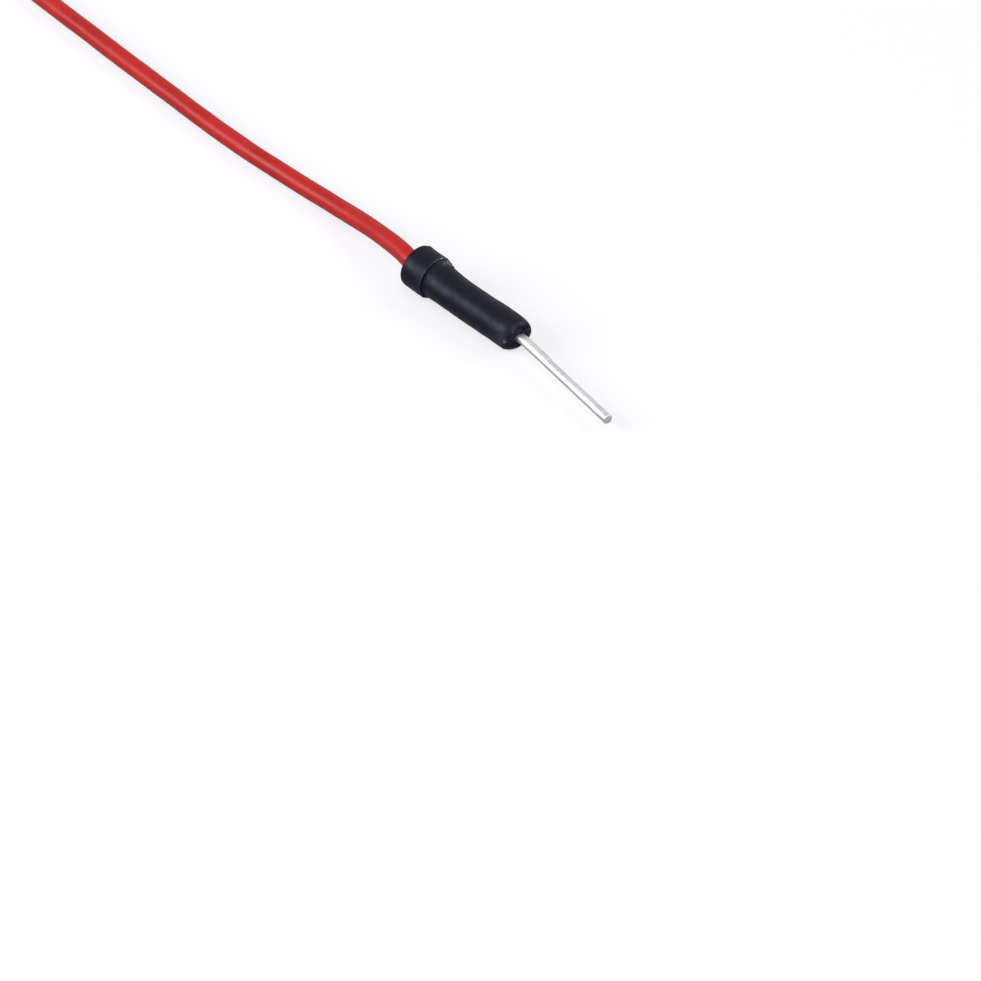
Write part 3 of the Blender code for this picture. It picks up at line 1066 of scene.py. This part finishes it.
@dataclass
class Strands:
    """The bare copper strands at each end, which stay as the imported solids."""

    count: int = 7

    def dress(self, nodes: dict[str, Object], copper: Material) -> None:
        """Gives every strand its finish.

        Args:
            nodes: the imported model's objects by name.
            copper: the strands' material.
        """
        for end in End:
            for number in range(1, self.count + 1):
                strand = nodes[f"{end.value}_strand_{number}"]
                strand.data.materials.clear()
                strand.data.materials.append(copper)
            log.info("dressed the %s end's %d strands", end.value, self.count)


# The picture


@dataclass(frozen=True)
class Lamp:
    """A soft rectangular lamp: its angles and distance as seen from the plug, its size and power."""

    name: str
    angles: tuple[float, float]
    distance: float
    size: tuple[float, float]
    watts: float


@dataclass
class Studio:
    """The camera, the card that the wire lies on, and the light.

    Lengths are in metres. Angles are an azimuth and an elevation in degrees.
    """

    camera_angles: tuple[float, float] = (46.68, 39.99)
    distance: float = 0.50
    lens: float = 238.53
    aim: tuple[float, float, float] = (0.0519702, -0.001678, -0.0095281)
    lit_place: tuple[float, float, float] = (0.045, 0.0035, 0.002)
    world_strength: float = 0.28
    glossy_gain: float = 0.47
    card_size: float = 6.0
    lamps: tuple[Lamp, ...] = (
        Lamp("left_softbox", (-36.0, 27.5), 0.5, (0.32, 0.28), 2.0),
        Lamp("top_softbox", (60.0, 78.0), 0.6, (0.5, 0.5), 0.6),
        Lamp("front_softbox", (50.0, 50.0), 0.8, (0.45, 0.45), 1.3),
        Lamp("back_softbox", (155.0, 40.0), 0.7, (0.5, 0.4), 1.5),
    )

    def stand(
        self, data: Camera | Light, angles: tuple[float, ...], distance: float, place: tuple[float, ...]
    ) -> Object:
        """Stands a camera or a lamp away from a place and turns it to face it.

        The way out from the place at azimuth a and elevation e is (sin a cos e, -cos a cos e, sin e).

        Args:
            data: the camera or the lamp.
            angles: the azimuth and elevation that it stands at.
            distance: how far it is from the place.
            place: what it faces.

        Returns:
            Its object, with the data's name.
        """
        turn, rise = math.radians(angles[0]), math.radians(angles[1])
        way = [math.sin(turn) * math.cos(rise), -math.cos(turn) * math.cos(rise), math.sin(rise)]
        made = bpy.data.objects.new(data.name, data)
        made.location = tuple(np.array(place) + np.array(way) * distance)
        made.rotation_euler = (math.pi / 2 - rise, 0.0, turn)
        bpy.context.scene.collection.objects.link(made)
        return made

    def camera(self) -> None:
        """The camera: it looks at the aim from its angles, at the distance."""
        data = bpy.data.cameras.new("camera")
        data.lens = self.lens
        data.sensor_width = 36.0
        data.clip_start = 0.01
        bpy.context.scene.camera = self.stand(data, self.camera_angles, self.distance, self.aim)

    def card(self) -> None:
        """The pale card, a flat sheet just under the wire."""
        half = self.card_size / 2
        mesh = bpy.data.meshes.new("pale_card")
        corners = [(-half, -half, 0.0), (half, -half, 0.0), (half, half, 0.0), (-half, half, 0.0)]
        mesh.from_pydata(corners, [], [(0, 1, 2, 3)])
        mesh.materials.append(PaleSurface().build())
        made = bpy.data.objects.new("pale_card", mesh)
        bpy.context.scene.collection.objects.link(made)

    def light(self) -> None:
        """The soft lamps, which all face the plug."""
        for lamp in self.lamps:
            data = bpy.data.lights.new(lamp.name, "AREA")
            data.shape = "RECTANGLE"
            data.size, data.size_y = lamp.size
            data.energy = lamp.watts
            self.stand(data, lamp.angles, lamp.distance, self.lit_place)

    def world(self) -> None:
        """An even pale room: white to the camera, and dimmer as light on the object."""
        made = bpy.data.worlds.new("pale_room")
        made.use_nodes = True
        bpy.context.scene.world = made
        tree = made.node_tree
        ray = add_node(tree, "LightPath")
        rays = {0: ray.outputs["Is Glossy Ray"], 1: self.glossy_gain, 2: self.world_strength}
        glossy = add_node(tree, "Math", rays, operation="MULTIPLY_ADD")
        strength = add_node(tree, "Math", {0: seen_straight(tree, ray), 1: glossy}, operation="MAXIMUM")
        connect(tree, tree.nodes["Background"], {"Color": (1.0, 1.0, 1.0, 1.0), "Strength": strength})

    def build(self) -> None:
        """Sets up the camera, the card, the lamps and the room."""
        bpy.context.scene.view_settings.view_transform = "Standard"
        self.camera()
        self.card()
        self.light()
        self.world()


def main() -> None:
    """Builds the studio, the wire and the plugs."""
    logging.basicConfig(level=logging.INFO, format="%(message)s")
    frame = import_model()
    Studio().build()
    near = Plug(
        End.NEAR,
        rear_xy=(38.12, 3.50),
        turn=0.0,
        parting=math.radians(-45.0),
        pin_bend=math.radians(8.3),
        seed=3,
        hollow=0.17,
        slant=0.4,
    )
    far = Plug(
        End.FAR,
        rear_xy=(-39.90, 4.06),
        turn=math.radians(204.0),
        parting=math.radians(35.0),
        pin_bend=0.0,
        seed=21,
    )
    InsulatedWire(near, far).dress(RedInsulation().build())
    moulding, tin = BlackMoulding().build(), TinnedPin().build()
    for plug in (near, far):
        plug.dress(moulding, tin)
    Strands().dress(frame["nodes"], BareCopper().build())


if __name__ == "__main__":
    main()
